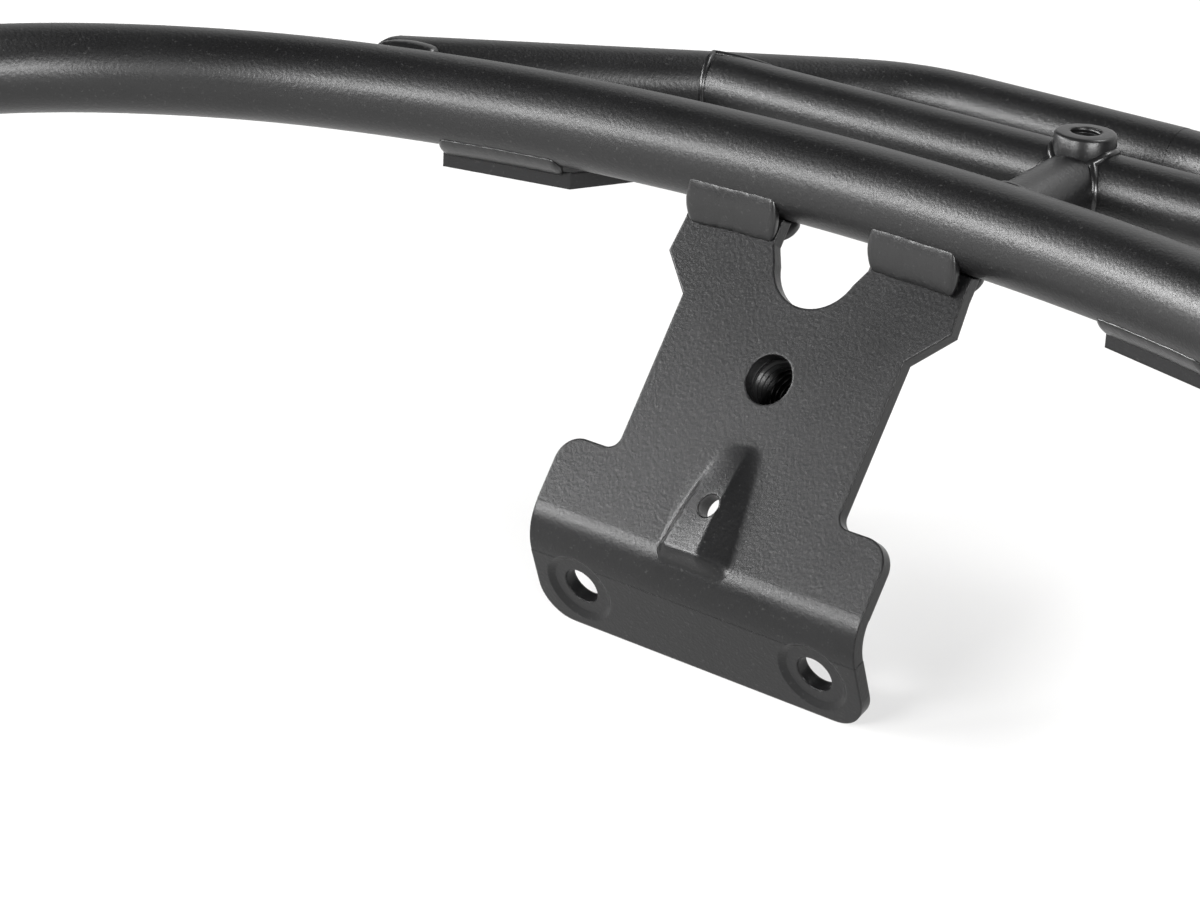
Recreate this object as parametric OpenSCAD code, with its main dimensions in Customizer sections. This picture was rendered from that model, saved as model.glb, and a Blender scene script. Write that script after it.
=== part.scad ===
// Tubular luggage rack for a motorcycle tail: a bow tube with two arms, an inner loop with a
// cross tube and a strut, a pressed centre bracket and two tab plates, all of welded steel.
// X runs across the motorcycle, +Y to its rear and +Z up. The origin is the mouth of the
// threaded bush behind the centre bracket.

/* [Bow tube] */
// Outside diameter of the bow tube
bow_d = 16; // [14:0.5:19]
// Wall of the bow tube
bow_wall = 2; // [1:0.5:3]
// Bend radius of the middle of the bow
bow_r1 = 300; // [270:5:360]
// Bend radius next to the middle
bow_r2 = 190; // [170:5:220]
// Bend radius of the shoulder
bow_r3 = 120; // [105:5:140]
// Bend radius where the bow turns into the arm
bow_r4 = 85; // [70:5:100]
// Angle turned by the middle arc, from the centre to one side
bow_a1 = 10; // [9:0.5:11]
// Angle turned by the second arc
bow_a2 = 15; // [13:0.5:17]
// Angle turned by the shoulder arc
bow_a3 = 20; // [18:0.5:22]
// Angle turned by the last arc
bow_a4 = 30; // [28:0.5:34]

/* [Arms] */
// Straight length of each arm before it turns down
arm_run = 40; // [30:1:60]
// Bend radius where the arm turns down
arm_bend_r = 60; // [50:1:75]
// Angle by which the arm turns down
arm_drop_a = 40; // [30:1:45]
// Straight length after the arm has turned down
arm_tail = 36; // [30:1:50]

/* [Arm lugs] */
// Thickness of the lug plate
lug_t = 4; // [3:0.5:6]
// Width of the lug plate
lug_w = 22; // [20:0.5:26]
// Length of the lug inside the slot of the tube
lug_in = 14; // [10:1:18]
// Distance from the end of the tube to the bolt hole
lug_reach = 17; // [15:0.5:24]
// Diameter of the bolt hole
lug_hole_d = 8.5; // [6.5:0.5:9.5]

/* [Inner loop] */
// Outside diameter of the loop, the cross tube and the strut
loop_d = 12; // [10:0.5:13]
// Wall of the loop, the cross tube and the strut
loop_wall = 1.5; // [1:0.25:2]
// Distance of the rear run of the loop behind the bow
loop_y = 50; // [46:1:60]
// Left corner of the rear run, measured from the centre
loop_left_x = 21.6; // [16:0.5:26]
// Right corner of the rear run, measured from the centre
loop_right_x = 48; // [44:0.5:56]
// Bend radius of both corners
loop_r = 30; // [24:1:34]
// Sideways place of both ends of the loop
loop_end_x = 94; // [90:0.5:97]
// Distance of both ends of the loop in front of the middle of the bow
loop_end_y = 8.6; // [7.5:0.1:9.5]

/* [Cross tube, strut and boss] */
// Distance of the cross tube behind the bow
cross_y = 27; // [25:0.5:30]
// Sideways place of the strut and the boss
boss_x = 28; // [22:0.5:34]
// How far the foot of the strut stands outside the boss
strut_splay = 1.5; // [0:0.5:3]
// Diameter of the boss head
boss_d = 10.6; // [9.5:0.1:11.5]
// Height of the boss head above the tubes
boss_h = 2.75; // [2:0.25:4]
// Diameter of the boss spigot in the cross tube
boss_spigot_d = 7.6; // [7:0.1:8]
// Length of the boss spigot below the cross tube
boss_below = 0.8; // [0.5:0.1:2]
// Tapping diameter of the boss thread
boss_tap_d = 5; // [4.2:0.1:5.2]

/* [Centre bracket] */
// Thickness of the bracket sheet
sheet_t = 2.5; // [2:0.25:3]
// Lean of the plate, from upright, towards the front
plate_lean = 33.4; // [31:0.2:36]
// Lean of the flange, from upright, towards the rear
flange_lean = 21; // [18:0.5:24]
// Length of the plate from the weld toe to the bend
plate_len = 53.9; // [51:0.1:58]
// Outside radius of the bend
bend_r = 10; // [8:0.5:12]
// Length of the flange after the bend
flange_len = 13.8; // [12.5:0.1:16]
// Width of the plate over the tabs
tab_top_w = 57; // [54:0.5:60]
// Width of the plate over the points under the tabs
tab_tip_w = 58; // [56:0.5:62]
// Width of the neck
neck_w = 45.6; // [42:0.2:48]
// Width of the flange
flange_w = 68; // [66:0.5:72]
// Distance from the weld toe to the tips
tip_s = 6.2; // [5:0.1:8]
// Distance from the weld toe to the start of the neck
neck_s = 12.7; // [11:0.1:15]
// Distance from the weld toe to the shoulders of the flange
shoulder_s = 41.6; // [39:0.1:44]
// Corner radius of the shoulders
shoulder_r = 4.6; // [3:0.1:5.5]
// Fillet radius between the neck and the shoulders
neck_fillet_r = 2.4; // [1.5:0.1:3.5]
// Corner radius at the lower edge of the flange
foot_r = 6.4; // [5:0.1:7.5]
// Radius of the notch between the tabs
notch_r = 8.4; // [7.5:0.1:9]
// Distance from the weld toe to the centre of the notch
notch_s = 0.7; // [0:0.1:1.5]
// Width of the mouth of the notch
notch_w = 19.4; // [18.5:0.1:20.5]

/* [Bracket holes and pressings] */
// Diameter of the hole over the bush
bush_hole_d = 8.8; // [8.6:0.1:9.5]
// Distance from the weld toe to the bush
bush_s = 22.2; // [20:0.1:25]
// Diameter of the flange holes
flange_hole_d = 6.9; // [6:0.1:7.5]
// Spacing of the flange holes
flange_hole_gap = 49.2; // [46:0.2:51]
// Distance of the flange holes below the bend
flange_hole_s = 5.3; // [4.5:0.1:6]
// Diameter of the dish around each flange hole
dish_d = 13.6; // [12:0.1:14.5]
// Depth of the dish
dish_depth = 0.7; // [0.4:0.1:1]
// Width of the flat ring in the dish
dish_slope = 1.1; // [0.8:0.1:1.6]
// Diameter of the drain hole in the rib
drain_d = 4.2; // [3:0.1:5]
// Distance from the weld toe to the drain hole
drain_s = 45.5; // [44:0.1:47]
// Distance from the weld toe to the tip of the rib
rib_s = 34.5; // [33:0.1:36]
// Width of the rib at the bend
rib_w = 12.6; // [11:0.1:14]
// Height of the rib at the bend
rib_h = 2.4; // [1.5:0.1:3]

/* [Threaded bush] */
// Outside diameter of the bush
bush_d = 14; // [13:0.5:16]
// Length of the bush
bush_len = 16; // [14:0.5:20]
// Tapping diameter of the bush thread
bush_tap_d = 8.5; // [6.8:0.1:8.6]

/* [Tab plates] */
// Thickness of each tab plate
tab_t = 3; // [2:0.25:4]
// Gap between the bow and each tab plate
tab_gap = 1; // [0.5:0.1:1.5]
// Place of each tab plate along the bow
tab_s = 68; // [64:0.5:72]
// Length of each tab plate along the bow
tab_len = 25; // [22:0.5:30]
// Depth of each tab plate, from front to rear
tab_depth = 25; // [22:0.5:30]
// How far each tab plate stands in front of the middle of the bow
tab_front = 1.5; // [0.5:0.1:3]
// How far each tab plate widens towards the centre
tab_flare = 8; // [6:0.5:10]
// Distance from the front edge over which it widens
tab_flare_y = 11; // [9:0.5:13]
// Diameter of the hole in each tab plate
tab_hole_d = 6.6; // [5.5:0.1:8.5]
// Distance of that hole from the rear edge
tab_hole_y = 8; // [7:0.5:10]

/* [Welds] */
// Gap left at the root of every joint
root_gap = 0.3; // [0.2:0.05:0.5]
// Gap between a weld bead and the steel it lies on
bead_gap = 0.05; // [0.03:0.01:0.1]
// Height of the beads around the thin tubes
bead_h = 1.7; // [1.2:0.1:2.2]
// Radius of the beads in the creases of the loop
crease_bead_r = 2; // [1.6:0.1:2.4]
// Length of those beads
crease_len = 10; // [8:0.5:11]
// Leg of the bracket beads down the plate
bracket_bead = 4.4; // [3.6:0.1:5]
// Radius of the beads at the tab plates
tab_bead_r = 2.7; // [2.2:0.1:3.2]
// Radius of the beads at the lugs
lug_bead_r = 1.6; // [1.2:0.1:2]
// Height of the bead around the bush
bush_bead = 2; // [1.5:0.1:2.5]

/* [Hidden] */
$fn = 96;
sweep_fn = 360;
steel = [0.17, 0.17, 0.175];
bead_steel = [0.2, 0.2, 0.2];
// Each bend of a tube runs a little into its neighbours and is a hair thinner, so that they fuse
lap = 0.3;
hair = 0.04;
bow_r = bow_d / 2;
loop_rad = loop_d / 2;
loop_z = bow_r - loop_rad;
bend_a = plate_lean + flange_lean;
bow_radii = [bow_r1, bow_r2, bow_r3, bow_r4];
bow_turns = [bow_a1, bow_a2, bow_a3, bow_a4];
arm_a = heading(4);
// The plate runs straight through the axis of the bow, so its weld toe lies one bead from the tube
toe_s = bow_r + root_gap + bracket_bead;
toe = [-toe_s * sin(plate_lean), -toe_s * cos(plate_lean)];
bush_seat = [toe[0] - bush_s * sin(plate_lean) + sheet_t * cos(plate_lean),
             toe[1] - bush_s * cos(plate_lean) - sheet_t * sin(plate_lean)];
loop_path = [[-loop_end_x, -loop_end_y], [-loop_left_x, loop_y],
             [loop_right_x, loop_y], [loop_end_x, -loop_end_y]];
strut_foot = [boss_x + strut_splay, 0, 0];
strut_head = [boss_x, cross_y, loop_z];
cross_left_x = leg_x(0, 1);
cross_right_x = leg_x(3, 2);

// Angle of the bow at the start of arc i, turned from the X axis towards the front
function heading(i) = i == 0 ? 0 : heading(i - 1) + bow_turns[i - 1];

// Start of arc i in the plane of the bow
function arc_start(i) = i == 0 ? [0, 0] : on_arc(i - 1, heading(i));

// Centre of arc i
function arc_centre(i) = arc_start(i) - bow_radii[i] * [sin(heading(i)), cos(heading(i))];

// Point of arc i where the bow has turned by an angle
function on_arc(i, a) = arc_centre(i) + bow_radii[i] * [sin(a), cos(a)];

// Length of the first arc, and the turn of the bow at a length along its second arc
first_len = bow_r1 * bow_a1 * PI / 180;
function second_turn(s) = bow_a1 + (s - first_len) / bow_r2 * 180 / PI;

// Heading of a segment between two points
function course(p, q) = atan2(q[1] - p[1], q[0] - p[0]);

// Length that a corner of the loop takes from each straight
function corner_len(i) = i == 0 || i == 3 ? 0 :
    loop_r * tan((course(loop_path[i - 1], loop_path[i]) - course(loop_path[i], loop_path[i + 1])) / 2);

// Sideways place where the cross tube meets the leg between two points of the loop
function leg_x(end, corner) = loop_path[end][0] + (cross_y - loop_path[end][1])
    * (loop_path[corner][0] - loop_path[end][0]) / (loop_path[corner][1] - loop_path[end][1]);

// Puts its children from the frame of the bow into the frame of the part
module placed() {
    translate([0, -bush_seat[0], -bush_seat[1]])
        children();
}

// Left copy of a right-hand piece
module left_side() {
    mirror([1, 0, 0])
        children();
}

// Section of a tube, solid if its bore is zero, thinner by some hairs
module tube_section(outer, inner, hairs = 0) {
    difference() {
        circle(r = outer - hairs * hair, $fn = 96);
        if (inner > 0)
            circle(r = inner + hairs * hair, $fn = 96);
    }
}

// Straight tube along +X
module straight(length, outer, inner) {
    rotate([0, 90, 0])
        linear_extrude(length)
            tube_section(outer, inner);
}

// Round rod between two points
module rod(p, q, r) {
    d = q - p;
    translate(p)
        rotate([0, acos(d[2] / norm(d)), atan2(d[1], d[0])])
            cylinder(r = r, h = norm(d));
}

// Part of arc i of the bow, from one turn to another
module bow_sweep(i, from, to, outer, inner, hairs = 0) {
    translate(arc_centre(i))
        rotate(90 - to)
            rotate_extrude(angle = to - from, $fn = sweep_fn)
                translate([bow_radii[i], 0])
                    tube_section(outer, inner, hairs);
}

// Arc i of the right side of the bow, where every second arc laps over its neighbours
module bow_arc(i, outer, inner) {
    hairs = i % 2;
    more = hairs * lap / bow_radii[i] * 180 / PI;
    bow_sweep(i, heading(i) - more, heading(i + 1) + more, outer, inner, hairs);
}

// Middle arc of the bow across both sides
module bow_middle(outer, inner) {
    bow_sweep(0, -bow_a1, bow_a1, outer, inner);
}

// Second arc of the bow as a solid, run on by some degrees, used to cut what meets it
module bow_shoulder(outer) {
    bow_sweep(1, bow_a1 - 3, bow_a1 + bow_a2 + 3, outer, 0);
}

// Puts its children at the start of an arm, with +X along it
module at_arm() {
    translate(arc_start(4))
        rotate(-arm_a)
            children();
}

// Puts its children at the end of an arm, with +X along it
module at_arm_end() {
    at_arm()
        translate([arm_run + arm_bend_r * sin(arm_drop_a), 0, -arm_bend_r * (1 - cos(arm_drop_a))])
            rotate([0, arm_drop_a, 0])
                translate([arm_tail, 0, 0])
                    children();
}

// Arm of the bow, from its last arc to its end
module arm(outer, inner) {
    more = lap / arm_bend_r * 180 / PI;
    at_arm() {
        straight(arm_run, outer, inner);
        translate([arm_run, 0, -arm_bend_r])
            rotate([90, 0, 0])
                rotate(90 - arm_drop_a - more)
                    rotate_extrude(angle = arm_drop_a + 2 * more)
                        translate([arm_bend_r, 0])
                            tube_section(outer, inner, 1);
    }
    at_arm_end()
        translate([-arm_tail, 0, 0])
            straight(arm_tail, outer, inner);
}

// Side of the bow beyond its middle arc
module bow_side(outer, inner) {
    for (i = [1 : 3])
        bow_arc(i, outer, inner);
    arm(outer, inner);
}

// Inner loop as straights, corners and domed ends
module loop_sweep(outer, inner) {
    translate([0, 0, loop_z]) {
        for (i = [0 : 2]) {
            from = corner_len(i);
            full = norm(loop_path[i + 1] - loop_path[i]);
            translate(loop_path[i])
                rotate(course(loop_path[i], loop_path[i + 1]))
                    translate([from, 0, 0])
                        straight(full - from - corner_len(i + 1), outer, inner);
        }
        for (i = [1, 2])
            loop_corner(i, outer, inner);
        loop_dome(0, 1, outer, inner);
        loop_dome(3, 2, outer, inner);
    }
}

// Corner i of the loop, lapping over both of its straights
module loop_corner(i, outer, inner) {
    a = course(loop_path[i - 1], loop_path[i]);
    b = course(loop_path[i], loop_path[i + 1]);
    more = lap / loop_r * 180 / PI;
    translate(loop_path[i] - corner_len(i) * [cos(a), sin(a)] + loop_r * [sin(a), -cos(a)])
        rotate(b + 90 - more)
            rotate_extrude(angle = a - b + 2 * more)
                translate([loop_r, 0])
                    tube_section(outer, inner, 1);
}

// Dome that closes one end of the loop, lapping into its straight
module loop_dome(end, next, outer, inner) {
    translate(loop_path[end])
        rotate(course(loop_path[next], loop_path[end]))
            translate([-lap, 0, 0])
                rotate([0, 90, 0])
                    rotate_extrude()
                        intersection() {
                            tube_section(outer, inner, 1);
                            square(2 * outer);
                        }
}

// Line of one leg of the loop as a solid rod, up to its corner
module leg_rod(end, corner, r) {
    rod([loop_path[end][0], loop_path[end][1], loop_z],
        [loop_path[corner][0], loop_path[corner][1], loop_z], r);
}

// Line of the cross tube as a solid rod, from one leg of the loop to the other
module cross_rod(r, over = 0) {
    rod([cross_left_x - over, cross_y, loop_z], [cross_right_x + over, cross_y, loop_z], r);
}

// Line of the strut as a solid rod, from the bow to the cross tube
module strut_rod(r, over = 0) {
    along = (strut_head - strut_foot) / norm(strut_head - strut_foot);
    rod(strut_foot - over * along, strut_head + over * along, r);
}

// Bow tube with its two arms, slotted for the lugs
module bow_tube() {
    color(steel) placed()
        difference() {
            union() {
                bow_middle(bow_r, bow_r - bow_wall);
                bow_side(bow_r, bow_r - bow_wall);
                left_side()
                    bow_side(bow_r, bow_r - bow_wall);
            }
            lug_slot();
            left_side()
                lug_slot();
        }
}

// Slot in the end of an arm, one root gap larger than the lug all round
module lug_slot() {
    at_arm_end()
        translate([-lug_in - root_gap, -lug_t / 2 - root_gap, -bow_d])
            cube([lug_in + root_gap + 1, lug_t + 2 * root_gap, 2 * bow_d]);
}

// Inner loop, cut away where it runs into the bow
module loop_tube() {
    color(steel) placed()
        difference() {
            loop_sweep(loop_rad, loop_rad - loop_wall);
            bow_shoulder(bow_r + root_gap);
            left_side()
                bow_shoulder(bow_r + root_gap);
        }
}

// Cross tube between the legs of the loop, drilled for the boss
module cross_tube() {
    color(steel) placed()
        difference() {
            cross_rod(loop_rad);
            cross_rod(loop_rad - loop_wall, 1);
            leg_rod(0, 1, loop_rad + root_gap);
            leg_rod(3, 2, loop_rad + root_gap);
            boss_spigot(root_gap);
        }
}

// Strut from the bow to the cross tube, coped at both ends
module strut_tube() {
    color(steel) placed()
        difference() {
            strut_rod(loop_rad);
            strut_rod(loop_rad - loop_wall, 1);
            bow_middle(bow_r + root_gap, 0);
            cross_rod(loop_rad + root_gap);
            boss_head(root_gap);
            boss_way(root_gap);
        }
}

// Spigot of the boss, larger all round by a clearance
module boss_spigot(clear) {
    low = loop_z - loop_rad - boss_below;
    translate([boss_x, cross_y, low - clear])
        cylinder(d = boss_spigot_d + 2 * clear, h = bow_r - low + clear);
}

// Room that the strut leaves for the boss spigot and for a screw below it
module boss_way(clear) {
    translate([boss_x, cross_y, -bow_d])
        cylinder(d = boss_spigot_d + 2 * clear, h = bow_d + bow_r);
}

// Head of the boss, larger all round by a clearance
module boss_head(clear) {
    translate([boss_x, cross_y, loop_z])
        cylinder(d = boss_d + 2 * clear, h = loop_rad + boss_h + clear);
}

// Threaded boss through the cross tube
module boss() {
    low = loop_z - loop_rad - boss_below;
    color(steel) placed()
        difference() {
            union() {
                boss_spigot(0);
                difference() {
                    boss_head(0);
                    cross_rod(loop_rad + root_gap);
                }
            }
            translate([boss_x, cross_y, low - 1])
                cylinder(d = boss_tap_d, h = bow_d + boss_h + 4);
        }
}

// Puts its children in the frame of the plate: X across, Y out of the back, -Z down the plate
module on_plate() {
    translate([0, toe[0], toe[1]])
        rotate([-plate_lean, 0, 0])
            children();
}

// Puts its children in the frame of the flange, which starts where the bend ends
module on_flange() {
    on_plate()
        translate([0, bend_r, -plate_len])
            rotate([bend_a, 0, 0])
                translate([0, -bend_r, 0])
                    children();
}

// Sheet of the plate's thickness from an outline in X and Z
module sheet(t) {
    translate([0, t, 0])
        rotate([90, 0, 0])
            linear_extrude(t)
                children();
}

// Fillet of radius r in the corner at the origin, open towards +X and +Z
module corner_fillet(r) {
    difference() {
        translate([-1, -1])
            square(r + 1);
        translate([r, r])
            circle(r = r);
    }
}

// Outline of the plate above the bend, with its tabs reaching into the bow
module plate_outline() {
    up = bracket_bead + bow_r / 2;
    polygon([
        [-tab_top_w / 2, up], [tab_top_w / 2, up], [tab_top_w / 2, 0],
        [tab_tip_w / 2, -tip_s], [neck_w / 2, -neck_s], [neck_w / 2, -plate_len],
        [-neck_w / 2, -plate_len], [-neck_w / 2, -neck_s],
        [-tab_tip_w / 2, -tip_s], [-tab_top_w / 2, 0]
    ]);
    for (side = [0, 1])
        mirror([side, 0]) {
            inner = flange_w / 2 - shoulder_r;
            translate([0, -plate_len])
                square([inner, plate_len - shoulder_s]);
            translate([0, -plate_len])
                square([flange_w / 2, plate_len - shoulder_s - shoulder_r]);
            translate([inner, -shoulder_s - shoulder_r])
                circle(r = shoulder_r);
            translate([neck_w / 2, -shoulder_s])
                corner_fillet(neck_fillet_r);
        }
}

// Notch between the tabs
module notch_outline() {
    up = bracket_bead + bow_r;
    translate([0, -notch_s])
        circle(r = notch_r);
    polygon([
        [-notch_w / 2, up], [notch_w / 2, up], [notch_w / 2, 0],
        [notch_r * 0.95, -notch_s - notch_r * 0.3], [-notch_r * 0.95, -notch_s - notch_r * 0.3],
        [-notch_w / 2, 0]
    ]);
}

// Outline of the flange below the bend
module flange_outline() {
    inner = flange_w / 2 - foot_r;
    translate([-inner, -flange_len])
        square([2 * inner, flange_len]);
    translate([-flange_w / 2, -flange_len + foot_r])
        square([flange_w, flange_len - foot_r]);
    for (x = [-inner, inner])
        translate([x, -flange_len + foot_r])
            circle(r = foot_r);
}

// Cone whose upper part stands out of the plate as the rib, or out of its back as the hollow
module rib_cone(inset, lower) {
    length = plate_len - rib_s - lower;
    r = (pow(rib_w / 2, 2) + pow(rib_h, 2)) / (2 * rib_h);
    sink = atan2(r - rib_h, length);
    translate([0, inset, -rib_s - lower])
        rotate([180 + sink, 0, 0])
            cylinder(r1 = 0, r2 = r / cos(sink), h = length / cos(sink));
}

// The part of the rib that stands in front of the plate, ended at the bend
module rib() {
    intersection() {
        rib_cone(0, 0);
        translate([-rib_w, -2 * rib_h, -plate_len])
            cube([2 * rib_w, 2 * rib_h + sheet_t / 2, plate_len]);
    }
}

// Hollow behind the rib
module rib_hollow() {
    intersection() {
        rib_cone(sheet_t + hair, 1);
        translate([-rib_w, -rib_h, -plate_len + 0.6])
            cube([2 * rib_w, rib_h + 2 * sheet_t, plate_len]);
    }
}

// Bend between the plate and the flange, lapping into both
module bend() {
    more = lap / bend_r * 180 / PI;
    translate([0, bend_r, -plate_len])
        rotate([0, 90, 0])
            rotate(-90 - more)
                rotate_extrude(angle = bend_a + 2 * more)
                    translate([bend_r - sheet_t + hair, -flange_w / 2 + hair])
                        square([sheet_t - 2 * hair, flange_w - 2 * hair]);
}

// Dish pressed into the front of the flange at one hole
module dish() {
    rotate([-90, 0, 0])
        cylinder(d1 = dish_d, d2 = dish_d - 2 * dish_slope, h = dish_depth);
}

// Boss that the dish makes on the back of the flange
module dish_back() {
    translate([0, sheet_t - dish_depth / 2, 0])
        rotate([-90, 0, 0])
            cylinder(d1 = dish_d + dish_slope, d2 = dish_d - dish_slope, h = dish_depth * 1.5);
}

// Puts its children at both flange holes
module at_flange_holes() {
    for (x = [-flange_hole_gap / 2, flange_hole_gap / 2])
        on_flange()
            translate([x, 0, -flange_hole_s])
                children();
}

// Pressed centre bracket: plate, bend and flange from one sheet
module bracket_plate() {
    color(steel) placed()
        difference() {
            union() {
                on_plate() {
                    sheet(sheet_t)
                        difference() {
                            plate_outline();
                            notch_outline();
                        }
                    rib();
                    bend();
                }
                on_flange()
                    sheet(sheet_t)
                        flange_outline();
                at_flange_holes()
                    dish_back();
            }
            on_plate() {
                rib_hollow();
                translate([0, -1, -bush_s])
                    rotate([-90, 0, 0])
                        cylinder(d = bush_hole_d, h = sheet_t + 2);
                translate([0, -rib_h - 1, -drain_s])
                    rotate([-90, 0, 0])
                        cylinder(d = drain_d, h = rib_h + sheet_t + 2);
            }
            at_flange_holes() {
                dish();
                translate([0, -1, 0])
                    rotate([-90, 0, 0])
                        cylinder(d = flange_hole_d, h = sheet_t + 3);
            }
            bow_middle(bow_r + root_gap, 0);
        }
}

// Threaded bush seated on the back of the plate
module bracket_bush() {
    color(steel) placed()
        on_plate()
            translate([0, sheet_t, -bush_s])
                rotate([-90, 0, 0])
                    difference() {
                        cylinder(d = bush_d, h = bush_len);
                        translate([0, 0, -1])
                            cylinder(d = bush_tap_d, h = bush_len + 2);
                    }
}

// Puts its children under the bow at the right tab plate, with -X towards the centre
module at_tab() {
    a = second_turn(tab_s);
    p = on_arc(1, a);
    translate([p[0], p[1], -bow_r - tab_gap])
        rotate(-a)
            children();
}

// Tab plate under the right side of the bow, in its own frame
module tab_blank() {
    half = tab_len / 2;
    rear = tab_depth - tab_front;
    translate([0, 0, -tab_t])
        linear_extrude(tab_t)
            difference() {
                polygon([
                    [half, -tab_front], [half, rear], [-half - tab_flare, rear],
                    [-half - tab_flare, tab_flare_y - tab_front], [-half, -tab_front]
                ]);
                translate([-tab_flare / 2, rear - tab_hole_y])
                    circle(d = tab_hole_d);
            }
}

// Tab plate on the right
module tab_plate_right() {
    color(steel) placed()
        at_tab()
            tab_blank();
}

// Tab plate on the left
module tab_plate_left() {
    color(steel) placed()
        left_side()
            at_tab()
                tab_blank();
}

// Lug at the end of the right arm
module arm_lug() {
    at_arm_end()
        rotate([90, 0, 0])
            translate([0, 0, -lug_t / 2])
                linear_extrude(lug_t)
                    difference() {
                        union() {
                            translate([-lug_in, -lug_w / 2])
                                square([lug_in + lug_reach, lug_w]);
                            translate([lug_reach, 0])
                                circle(d = lug_w);
                        }
                        translate([lug_reach, 0])
                            circle(d = lug_hole_d);
                    }
}

module arm_lug_right() {
    color(steel) placed()
        arm_lug();
}

module arm_lug_left() {
    color(steel) placed()
        left_side()
            arm_lug();
}

// Bead along the right half of the middle arc, from a section in Y and Z
module bow_bead() {
    from = asin((notch_w / 2 + 0.4) / bow_r1);
    to = asin((tab_top_w / 2 - 0.4) / bow_r1);
    translate(arc_centre(0))
        rotate(90 - to)
            rotate_extrude(angle = to - from, $fn = sweep_fn)
                translate([bow_r1, 0])
                    children();
}

// Solid of the plate's own sheet over the tabs, larger on both faces by a clearance
module plate_space(clear) {
    on_plate()
        translate([-flange_w / 2, -clear, -neck_s])
            cube([flange_w, sheet_t + 2 * clear, neck_s + bow_d]);
}

// Bead that fills the corner between the bow and the front of the right tab, or its rear
module bracket_bead_solid(front) {
    top = bow_r + 0.5;
    rear_toe = toe + sheet_t * [cos(plate_lean), -sin(plate_lean)];
    difference() {
        bow_bead()
            if (front)
                polygon([toe, [-1, -2], -top * [sin(plate_lean + 42), cos(plate_lean + 42)]]);
            else
                polygon([rear_toe, [0, -2], -top * [sin(-24), cos(-24)]]);
        bow_middle(bow_r + bead_gap, 0);
        plate_space(bead_gap);
    }
}

module weld_bracket_front_right() {
    color(bead_steel) placed()
        bracket_bead_solid(true);
}

module weld_bracket_front_left() {
    color(bead_steel) placed()
        left_side()
            bracket_bead_solid(true);
}

module weld_bracket_rear_right() {
    color(bead_steel) placed()
        bracket_bead_solid(false);
}

module weld_bracket_rear_left() {
    color(bead_steel) placed()
        left_side()
            bracket_bead_solid(false);
}

// Bead between the bow and the front edge of the right tab plate
module tab_bead() {
    run = tab_len - 2 * tab_bead_r;
    difference() {
        at_tab()
            translate([-run / 2, -tab_front - tab_bead_r * 0.45, tab_gap / 2])
                rotate([0, 90, 0])
                    cylinder(r = tab_bead_r, h = run);
        bow_shoulder(bow_r + bead_gap);
        at_tab()
            translate([-tab_len, -tab_front - bead_gap, -2 * tab_t])
                cube([2 * tab_len, tab_depth, 2 * tab_t + bead_gap]);
    }
}

module weld_tab_right() {
    color(bead_steel) placed()
        tab_bead();
}

module weld_tab_left() {
    color(bead_steel) placed()
        left_side()
            tab_bead();
}

// Beads above and below, in the creases between one leg of the loop and its side of the bow
module loop_bead(end, corner) {
    side = end == 0 ? 1 : 0;
    out = end == 0 ? -1 : 1;
    difference() {
        translate([loop_path[end][0], loop_path[end][1], loop_z])
            rotate(course(loop_path[end], loop_path[corner])) {
                rod([1, out * 0.62 * loop_rad, 0.84 * loop_rad],
                    [crease_len, out * 0.86 * loop_rad, 0.56 * loop_rad], crease_bead_r);
                rod([1, out * 0.2 * loop_rad, -1.04 * loop_rad],
                    [crease_len, out * 0.6 * loop_rad, -0.86 * loop_rad], crease_bead_r);
            }
        mirror([side, 0, 0])
            bow_shoulder(bow_r + bead_gap);
        leg_rod(end, corner, loop_rad + bead_gap);
    }
}

module weld_loop_left() {
    color(bead_steel) placed()
        loop_bead(0, 1);
}

module weld_loop_right() {
    color(bead_steel) placed()
        loop_bead(3, 2);
}

// Slab beside one leg of the loop, on the side of the cross tube
module leg_slab(end, corner, width) {
    full = norm(loop_path[corner] - loop_path[end]);
    translate([loop_path[end][0], loop_path[end][1], loop_z])
        rotate(course(loop_path[end], loop_path[corner]))
            translate([0, end == 0 ? -width : 0, -loop_d])
                cube([full, width, 2 * loop_d]);
}

// Bead where the cross tube meets one leg of the loop
module cross_bead(end, corner) {
    difference() {
        intersection() {
            cross_rod(loop_rad + bead_h, loop_d);
            leg_slab(end, corner, loop_rad + bead_h);
        }
        leg_rod(end, corner, loop_rad + bead_gap);
        cross_rod(loop_rad + 2 * bead_gap, 2 * loop_d);
    }
}

module weld_cross_left() {
    color(bead_steel) placed()
        cross_bead(0, 1);
}

module weld_cross_right() {
    color(bead_steel) placed()
        cross_bead(3, 2);
}

// Bead where the strut meets the bow
module weld_strut_front() {
    color(bead_steel) placed()
        difference() {
            intersection() {
                strut_rod(loop_rad + bead_h);
                bow_middle(bow_r + bead_h, 0);
            }
            bow_middle(bow_r + bead_gap, 0);
            strut_rod(loop_rad + bead_gap);
        }
}

// Bead where the strut meets the cross tube
module weld_strut_rear() {
    color(bead_steel) placed()
        difference() {
            intersection() {
                strut_rod(loop_rad + bead_h);
                cross_rod(loop_rad + bead_h);
            }
            cross_rod(loop_rad + 2 * bead_gap);
            strut_rod(loop_rad + bead_gap);
            boss_head(bead_gap);
            boss_way(bead_gap);
        }
}

// Bead around the foot of the boss head
module weld_boss() {
    color(bead_steel) placed()
        difference() {
            intersection() {
                translate([boss_x, cross_y, loop_z])
                    cylinder(d = boss_d + bead_h, h = loop_rad + bead_h);
                cross_rod(loop_rad + bead_h);
            }
            cross_rod(loop_rad + bead_gap);
            boss_head(bead_gap);
            strut_rod(loop_rad + bead_h + bead_gap);
        }
}

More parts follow.
